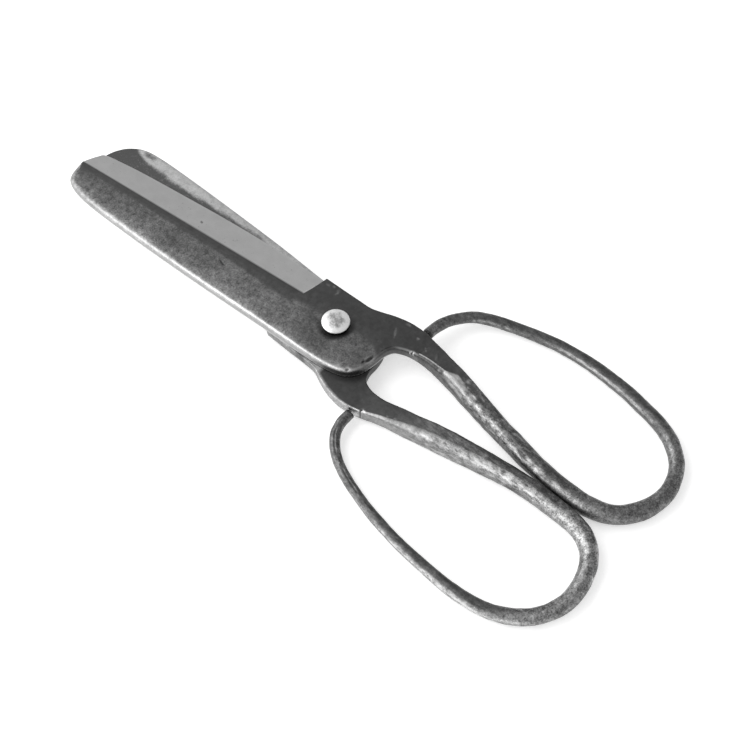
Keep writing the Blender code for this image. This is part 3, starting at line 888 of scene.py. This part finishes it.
def turned(name, profile, sides, worked):
    """Spin (radius, height) points about the pivot axis and hammer the result a little."""
    flat = np.array([point for radius, z in profile for point in ring_points(radius, z, sides)])
    item = mesh_object(name, flat * MM, capped_tube_faces(len(profile), sides))
    carve(item.data, flat, vertex_normals(item.data), worked(flat), CAD_BOX)
    return item


def arc(centre, radii, start, stop, count):
    """Points of an elliptic arc in the (radius, height) plane, angles in degrees."""
    angles = np.radians(np.linspace(start, stop, count))
    radius, z = centre
    return [(radius + radii[0] * math.cos(angle), z + radii[1] * math.sin(angle)) for angle in angles]


def rivet():
    """The domed rivet: peened tail, shank and hammered head."""
    tail = [(0.02, 0.0), (1.5, 0.0), (3.0, 0.02)]
    tail += arc((3.3, 0.55), (1.0, 0.53), -75, 35, 9) + [(3.9, 0.9), (3.0, 0.92)]
    shank = [(3.0, z) for z in np.linspace(1.2, 10.2, 8)]
    rim = [(3.02, 10.35)] + arc((4.57, 10.93), (0.58, 0.58), -90, 70, 14)
    edge, low = rim[-1]
    left = 1 - np.linspace(0, 1, 24)[1:]
    dome = [(max(edge * share, 0.02), low + 0.66 * (1 - share ** 2.2)) for share in left]
    facets = [(1.6, 0.9), (-1.9, 1.2), (0.4, -2.2), (2.6, -1.4), (-2.4, -1.9), (0.2, 0.6), (-0.6, 3.1)]

    def beaten(flat):
        cut = 0.03 * noise_field(flat, 2.2, 5, 2)
        for x, y in facets:
            cut = cut + 0.035 * pressed(flat, (x, y), (1, 0.4), 2.6, 2.2) * (flat[:, 2] > 11)
        return cut * (np.hypot(flat[:, 0], flat[:, 1]) > 0.2)

    return turned("rivet_forging", tail + shank + rim + dome, RIVET_SIDES, beaten)


def washer():
    """The washer that the rivet's tail is peened over."""
    profile = [(HOLE_RADIUS, 1.2), (HOLE_RADIUS, 1.9), (3.15, 1.95), (5.0, 1.95)]
    profile += arc((5.05, 1.7), (0.22, 0.22), 80, 0, 5) + arc((5.05, 1.4), (0.22, 0.22), 0, -80, 5)
    profile += [(5.0, 1.16), (3.15, 1.16)]
    vertices = []
    for radius, z in profile:
        for k in range(RIVET_SIDES):
            angle = 2 * math.pi * k / RIVET_SIDES
            wobble = 1 + 0.004 * math.sin(3 * angle + 1) * (radius > 4)
            far = radius * wobble
            vertices.append((far * math.cos(angle) * MM, far * math.sin(angle) * MM, z * MM))
    return mesh_object("washer_forging", vertices, tube_faces(len(profile), RIVET_SIDES, closed=True))


class Shading:
    """Adds shader nodes to one new material; every value is a number or another node's output."""

    def __init__(self, name):
        self.material = bpy.data.materials.new(name)
        self.material.use_nodes = True
        self.tree = self.material.node_tree
        self.surface = self.tree.nodes["Principled BSDF"]
        coordinates = self.tree.nodes.new("ShaderNodeTexCoord")
        self.place = self.stretched(coordinates.outputs["Object"], (1 / MM, 1 / MM, 1 / MM))

    def node(self, kind, inputs, **settings):
        made = self.tree.nodes.new(kind)
        for key, value in settings.items():
            setattr(made, key, value)
        self.connect(made, inputs)
        return made

    def connect(self, made, inputs):
        for key, value in inputs.items():
            if isinstance(value, bpy.types.NodeSocket):
                self.tree.links.new(value, made.inputs[key])
            else:
                made.inputs[key].default_value = value

    def stretched(self, place, factors):
        return self.node("ShaderNodeVectorMath", {0: place, 1: factors}, operation="MULTIPLY").outputs[0]

    def math(self, operation, a, b=0.0, c=0.0):
        return self.node("ShaderNodeMath", {0: a, 1: b, 2: c}, operation=operation).outputs[0]

    def times(self, a, b):
        return self.math("MULTIPLY", a, b)

    def scaled(self, value, factor, offset):
        return self.math("MULTIPLY_ADD", value, factor, offset)

    def varied(self, value, amplitude, around):
        """Noise of 0..1 as a swing about a value."""
        return self.scaled(self.math("SUBTRACT", value, 0.5), amplitude, around)

    def noise(self, size, detail=2.0, seed=0.0, roughness=0.55, stretch=None, distortion=0.0):
        """Fractal noise of 0..1 with features of a size in mm."""
        inputs = {
            "Vector": self.stretched(self.place, stretch) if stretch else self.place,
            "W": seed,
            "Scale": 1 / size,
            "Detail": detail,
            "Roughness": roughness,
            "Distortion": distortion,
        }
        return self.node("ShaderNodeTexNoise", inputs, noise_dimensions="4D").outputs[0]

    def step(self, value, low, high, out_low=0.0, out_high=1.0):
        inputs = {"Value": value, "From Min": low, "From Max": high, "To Min": out_low, "To Max": out_high}
        return self.node("ShaderNodeMapRange", inputs, interpolation_type="SMOOTHSTEP").outputs[0]

    def mix(self, share, a, b):
        return self.node("ShaderNodeMix", {0: share, 2: a, 3: b}, data_type="FLOAT").outputs[0]

    def field(self, name):
        return self.node("ShaderNodeAttribute", {}, attribute_name=name).outputs["Fac"]

    def bump(self, height, depth):
        inputs = {"Height": height, "Distance": depth * MM, "Strength": 1.0}
        return self.node("ShaderNodeBump", inputs).outputs[0]

    def finish(self, tone, roughness, normal, metallic=1.0):
        inputs = {"Base Color": tone, "Roughness": roughness, "Normal": normal, "Metallic": metallic}
        self.connect(self.surface, inputs)
        return self.material


def forged_iron():
    """Blackened forged iron that wears through to bare metal, with its ground steel faces."""
    shade = Shading("forged_iron")
    names = ("ground", "wear_and_painted_light", "stain", "grime_and_shade", "lively")
    ground, wear_and_painted_light, stain, grime_and_shade, lively = (shade.field(name) for name in names)
    fine = shade.noise(0.55, 3.0, 1.0, roughness=0.6)
    middle = shade.noise(1.9, 4.0, 2.0, roughness=0.6, distortion=0.3)
    broad = shade.noise(9.0, 2.0, 3.0)
    drawn = shade.noise(1.1, 3.0, 12.0, roughness=0.6, stretch=(0.30, 1.0, 1.0), distortion=0.4)
    felt = shade.scaled(fine, 0.45, shade.scaled(middle, 0.40, shade.times(broad, 0.15)))
    streaked = shade.scaled(drawn, 0.55, shade.scaled(fine, 0.20, shade.times(middle, 0.25)))
    mottle = shade.mix(shade.field("drawn_out"), felt, streaked)
    grain = shade.noise(0.36, 2.0, 13.0, roughness=0.7)
    mottle = shade.mix(shade.step(lively, 0.8, 1.2, 0.0, 0.22), mottle, grain)
    specks = shade.step(shade.noise(0.9, 3.0, 14.0, roughness=0.7), 0.60, 0.68)

    # Iron: its tone follows how far the scale is rubbed through, together with the painted highlights and
    # shade carried in the same field, and is darkened by grime and painted shadow.
    swing = shade.times(shade.math("SUBTRACT", mottle, 0.5), shade.times(lively, 4.0))
    reach = shade.scaled(lively, 0.07, shade.math("ADD", wear_and_painted_light, 0.05))
    rubbed_and_painted_light = shade.scaled(swing, reach, wear_and_painted_light)
    rubbed_and_painted_light = shade.scaled(shade.times(specks, shade.step(lively, 0.8, 1.2)), -0.30, rubbed_and_painted_light)
    rubbed_and_painted_light = shade.node("ShaderNodeClamp", {0: rubbed_and_painted_light}).outputs[0]
    iron = shade.scaled(shade.math("POWER", rubbed_and_painted_light, 1.6), 0.60, 0.068)
    iron = shade.varied(middle, 0.05, iron)
    iron = shade.times(iron, shade.scaled(grime_and_shade, -0.85, 1.0))

    # Ground steel: grind lines, clouds and small pits, under the dark stain.
    grind = shade.noise(0.35, 2.0, 4.0, stretch=(1.0, 0.08, 1.0))
    cloud = shade.noise(5.0, 4.0, 5.0)
    pits = shade.step(shade.noise(0.8, 1.0, 6.0), 0.70, 0.76)
    steel = shade.varied(cloud, 0.14, 0.52)
    steel = shade.varied(grind, 0.04, steel)
    steel = shade.varied(fine, 0.06, steel)
    steel = shade.times(steel, shade.scaled(pits, -0.25, 1.0))
    stained = shade.varied(felt, 2.1, stain)
    stained = shade.times(shade.step(stained, 0.0, 1.0), shade.step(stain, 0.02, 0.35))
    steel = shade.mix(stained, steel, shade.varied(felt, 0.20, 0.085))

    tone = shade.mix(ground, iron, steel)
    roughness = shade.mix(ground, shade.scaled(rubbed_and_painted_light, -0.04, 0.48), shade.scaled(grind, 0.10, 0.40))
    relief = shade.times(mottle, shade.times(lively, 0.8))
    relief = shade.mix(ground, relief, shade.times(grind, 0.12))
    return shade.finish(tone, roughness, shade.bump(relief, 0.07))


def rivet_steel():
    """Bright worn steel, with a grey patch on top of the dome painted in for its reflection and mottled
    like tarnish, and painted shade below its rim.
    """
    shade = Shading("rivet_steel_finish")
    across, back, height = shade.node("ShaderNodeSeparateXYZ", {0: shade.place}).outputs
    squares = shade.math("ADD", shade.math("POWER", across, 2.0), shade.math("POWER", back, 2.0))
    reach = shade.math("SQRT", squares)
    fine = shade.noise(0.5, 3.0, 7.0)
    middle = shade.noise(1.6, 3.0, 8.0)
    # A painted reflection: the top of the dome is painted grey, mottled like tarnish.
    top_reflection = shade.step(shade.varied(middle, 4.0, reach), 1.8, 4.2, 1.0, 0.0)
    mottle = shade.scaled(fine, 0.5, shade.times(middle, 0.5))
    tarnish = shade.step(mottle, 0.36, 0.66, 1.0, 0.45)
    tone = shade.mix(shade.times(top_reflection, tarnish), 0.90, 0.32)
    tone = shade.times(tone, shade.scaled(fine, 0.24, 0.86))
    # Painted shade under the rim of the head, darkest next to the plate.
    tone = shade.times(tone, shade.step(height, 10.55, 11.0, 0.12, 1.0))
    relief = shade.bump(shade.scaled(fine, 0.4, middle), 0.05)
    return shade.finish(tone, shade.scaled(middle, 0.20, 0.34), relief)


def washer_steel():
    """Dull grey steel with specks of scale."""
    shade = Shading("washer_steel_finish")
    fine = shade.noise(0.5, 2.0, 9.0)
    middle = shade.noise(2.0, 3.0, 10.0)
    tone = shade.scaled(shade.step(middle, 0.35, 0.65), 0.22, 0.22)
    tone = shade.times(tone, shade.scaled(fine, 0.5, 0.75))
    return shade.finish(tone, 0.42, shade.bump(shade.scaled(fine, 0.5, middle), 0.04))


def paper():
    """The plain pale surface that the shears lie on; a weak glow keeps it near white."""
    shade = Shading("paper")
    grain = shade.noise(1.5, 2.0, 11.0)
    shade.connect(shade.surface, {"Emission Color": (1, 1, 1, 1), "Emission Strength": 0.45})
    return shade.finish(shade.scaled(grain, 0.01, 0.865), 0.95, shade.bump(grain, 0.01), 0.0)


def light(name, direction, distance, size, power):
    """A soft panel facing the shears, in a direction given as (image right, away from the camera, up)."""
    right = Vector((math.cos(AZIMUTH), math.sin(AZIMUTH), 0))
    away = Vector((-math.sin(AZIMUTH), math.cos(AZIMUTH), 0))
    place = right * direction[0] + away * direction[1] + Vector((0, 0, direction[2]))
    place = place.normalized() * distance
    data = bpy.data.lights.new(name, "AREA")
    data.shape = "RECTANGLE"
    data.size, data.size_y = size
    data.energy = power
    item = bpy.data.objects.new(name, data)
    item.location = place
    item.rotation_euler = (-place).to_track_quat("-Z", "Y").to_euler()
    bpy.context.scene.collection.objects.link(item)


def studio():
    """Pale floor, soft light and the camera."""
    scene = bpy.context.scene
    scene.view_settings.view_transform = "Standard"
    scene.world = bpy.data.worlds.new("studio")
    scene.world.use_nodes = True
    background = scene.world.node_tree.nodes["Background"]
    background.inputs["Color"].default_value = (1, 1, 1, 1)
    background.inputs["Strength"].default_value = 0.58
    corners = [(-1, -1), (1, -1), (1, 1), (-1, 1)]
    floor = mesh_object("floor", [(x * FLOOR_REACH, y * FLOOR_REACH, 0) for x, y in corners], [range(4)])
    floor.data.materials.append(paper())
    light("key", (-0.80, -0.38, 0.47), 1.3, (1.2, 0.9), 7)
    light("window", (-0.70, 0.38, 0.75), 1.5, (1.3, 1.3), 12)

    level = math.cos(ELEVATION)
    outward = Vector((math.sin(AZIMUTH) * level, -math.cos(AZIMUTH) * level, math.sin(ELEVATION)))
    camera = bpy.data.objects.new("camera", bpy.data.cameras.new("camera"))
    camera.data.lens = LENS
    camera.data.sensor_width = SENSOR_WIDTH
    camera.location = TARGET + outward * DISTANCE
    camera.rotation_euler = outward.to_track_quat("Z", "Y").to_euler()
    scene.collection.objects.link(camera)
    scene.camera = camera


def finished(item, material, body, node):
    """Give a piece its material and put it on its body in place of its CAD node."""
    item.data.materials.clear()
    item.data.materials.append(material)
    item.data.shade_smooth()
    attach(item, body)
    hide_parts(node)


studio()
iron = forged_iron()
for name, half in HALVES.items():
    finished(forged_half(name, half), iron, half["body"], half["node"])
finished(rivet(), rivet_steel(), "lower_body", "pivot_rivet")
finished(washer(), washer_steel(), "lower_body", "rivet_washer")
